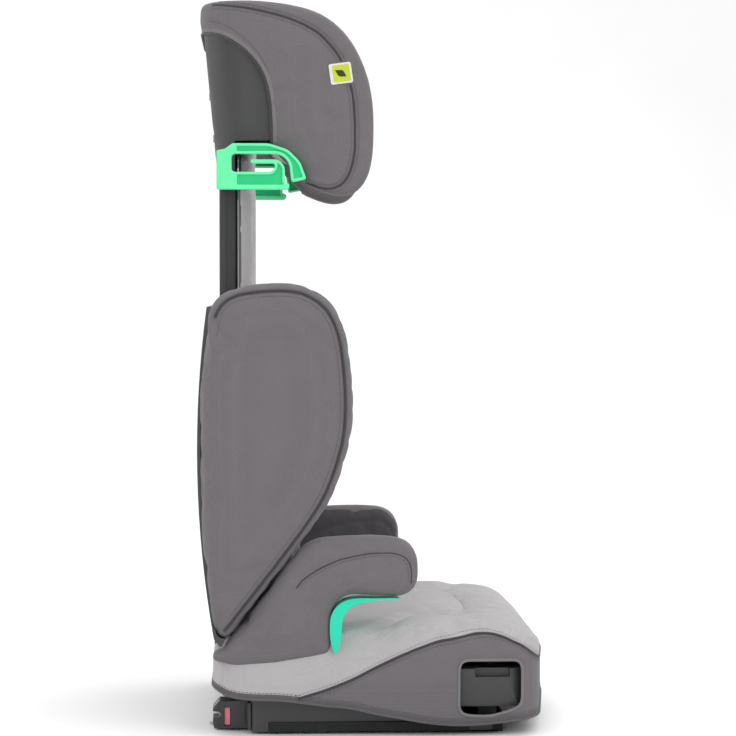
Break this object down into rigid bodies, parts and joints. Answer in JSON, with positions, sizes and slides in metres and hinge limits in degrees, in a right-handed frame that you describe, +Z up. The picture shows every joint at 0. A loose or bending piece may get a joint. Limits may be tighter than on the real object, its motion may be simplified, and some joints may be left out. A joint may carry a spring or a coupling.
{
  "type": "high-back car booster seat",
  "caption": "High-back car booster seat with winged backrest, height-adjustable headrest, belt guides, armrests, cup holders and rear anchor connectors.",
  "frame": {"origin": "middle of the seat's footprint, on the surface that it stands on", "axes": "the seat faces -Y, +Z is up, +X is the child's left; X = 0 is the plane of symmetry"},
  "size_m": [0.444, 0.4142, 0.8445],
  "materials": {
    "black_plastic": "grained",
    "green_plastic": "satin",
    "red_plastic": "satin",
    "steel": "zinc plated",
    "rubber": "matte",
    "foam": "expanded foam",
    "light_fabric": "woven, light grey",
    "dark_fabric": "woven, dark grey",
    "yellow_label": "woven tag"
  },
  "bodies": {
    "base": {"base_tray": "black_plastic", "base_screws": "steel", "anti_slip_strips": "rubber", "seat_pan": "black_plastic", "seat_foam": "foam", "seat_cover": "light_fabric", "hinge_bracket_right": "black_plastic", "hinge_bracket_left": "black_plastic", "hinge_rod": "steel", "armrest_core_right": "foam", "armrest_core_left": "foam", "armrest_cover_right": "dark_fabric", "armrest_cover_left": "dark_fabric", "lap_belt_guide_right": "green_plastic", "lap_belt_guide_left": "green_plastic", "cup_shelf_right": "black_plastic", "cup_shelf_left": "black_plastic", "connector_rail_right": "black_plastic", "connector_rail_left": "black_plastic", "connector_guard_right": "black_plastic", "connector_guard_left": "black_plastic"},
    "connectors": {"connector_frame": "steel", "connector_head_right": "black_plastic", "connector_head_left": "black_plastic", "claw_pin_right": "steel", "claw_pin_left": "steel"},
    "claw_right": {"connector_claw_right": "steel"},
    "claw_left": {"connector_claw_left": "steel"},
    "button_right": {"release_button_right": "red_plastic"},
    "button_left": {"release_button_left": "red_plastic"},
    "connector_lock": {"connector_release": "black_plastic"},
    "cup_right": {"cup_holder_right": "black_plastic"},
    "cup_left": {"cup_holder_left": "black_plastic"},
    "backrest": {"backrest_shell": "black_plastic", "wing_cover_right": "dark_fabric", "wing_cover_left": "dark_fabric", "backrest_screws": "steel", "backrest_panel": "black_plastic", "backrest_cushion": "light_fabric", "hinge_hook_right": "black_plastic", "hinge_hook_left": "black_plastic", "wing_tip_right": "black_plastic", "wing_tip_left": "black_plastic", "height_rack": "black_plastic", "mast_guide_right": "black_plastic", "mast_guide_left": "black_plastic"},
    "headrest": {"headrest_mast": "black_plastic", "headrest_screws": "steel", "headrest_shell": "black_plastic", "headrest_cushion": "dark_fabric", "headrest_cover": "dark_fabric", "mast_cover": "light_fabric", "label_tag": "yellow_label", "shoulder_belt_guide_right": "green_plastic", "shoulder_belt_guide_left": "green_plastic"},
    "handle": {"height_handle": "black_plastic", "handle_rod": "steel"},
    "latch": {"height_latch": "black_plastic"}
  },
  "joints": [
    {"name": "connector_slide", "type": "slide", "parent": "base", "child": "connectors", "axis": [0, 1, 0], "range_m": [0, 0.1]},
    {"name": "claw_right_pivot", "type": "hinge", "parent": "connectors", "child": "claw_right", "pos_m": [-0.14, 0.176, 0.007], "axis": [1, 0, 0], "range_deg": [0, 45]},
    {"name": "claw_left_pivot", "type": "hinge", "parent": "connectors", "child": "claw_left", "pos_m": [0.14, 0.176, 0.007], "axis": [1, 0, 0], "range_deg": [0, 45]},
    {"name": "button_right_slide", "type": "slide", "parent": "connectors", "child": "button_right", "axis": [1, 0, 0], "range_m": [0, 0.002], "stiffness_N_per_m": 400},
    {"name": "button_left_slide", "type": "slide", "parent": "connectors", "child": "button_left", "axis": [-1, 0, 0], "range_m": [0, 0.002], "stiffness_N_per_m": 400},
    {"name": "connector_lock_slide", "type": "slide", "parent": "base", "child": "connector_lock", "axis": [0, -1, 0], "range_m": [0, 0.01], "stiffness_N_per_m": 200},
    {"name": "cup_right_slide", "type": "slide", "parent": "base", "child": "cup_right", "axis": [-1, 0, 0], "range_m": [0, 0.09]},
    {"name": "cup_left_slide", "type": "slide", "parent": "base", "child": "cup_left", "axis": [1, 0, 0], "range_m": [0, 0.09]},
    {"name": "backrest_recline", "type": "hinge", "parent": "base", "child": "backrest", "pos_m": [0, 0.178, 0.098], "axis": [-1, 0, 0], "range_deg": [0, 15]},
    {"name": "headrest_height", "type": "slide", "parent": "backrest", "child": "headrest", "axis": [0, 0, 1], "range_m": [-0.17, 0]},
    {"name": "handle_slide", "type": "slide", "parent": "headrest", "child": "handle", "axis": [0, 0, 1], "range_m": [0, 0.01], "stiffness_N_per_m": 400},
    {"name": "latch_slide", "type": "slide", "parent": "headrest", "child": "latch", "axis": [0, -1, 0], "range_m": [0, 0.0042]}
  ],
  "couplings": [
    {"joint": "latch_slide", "follows": "handle_slide", "ratio": 0.4}
  ]
}
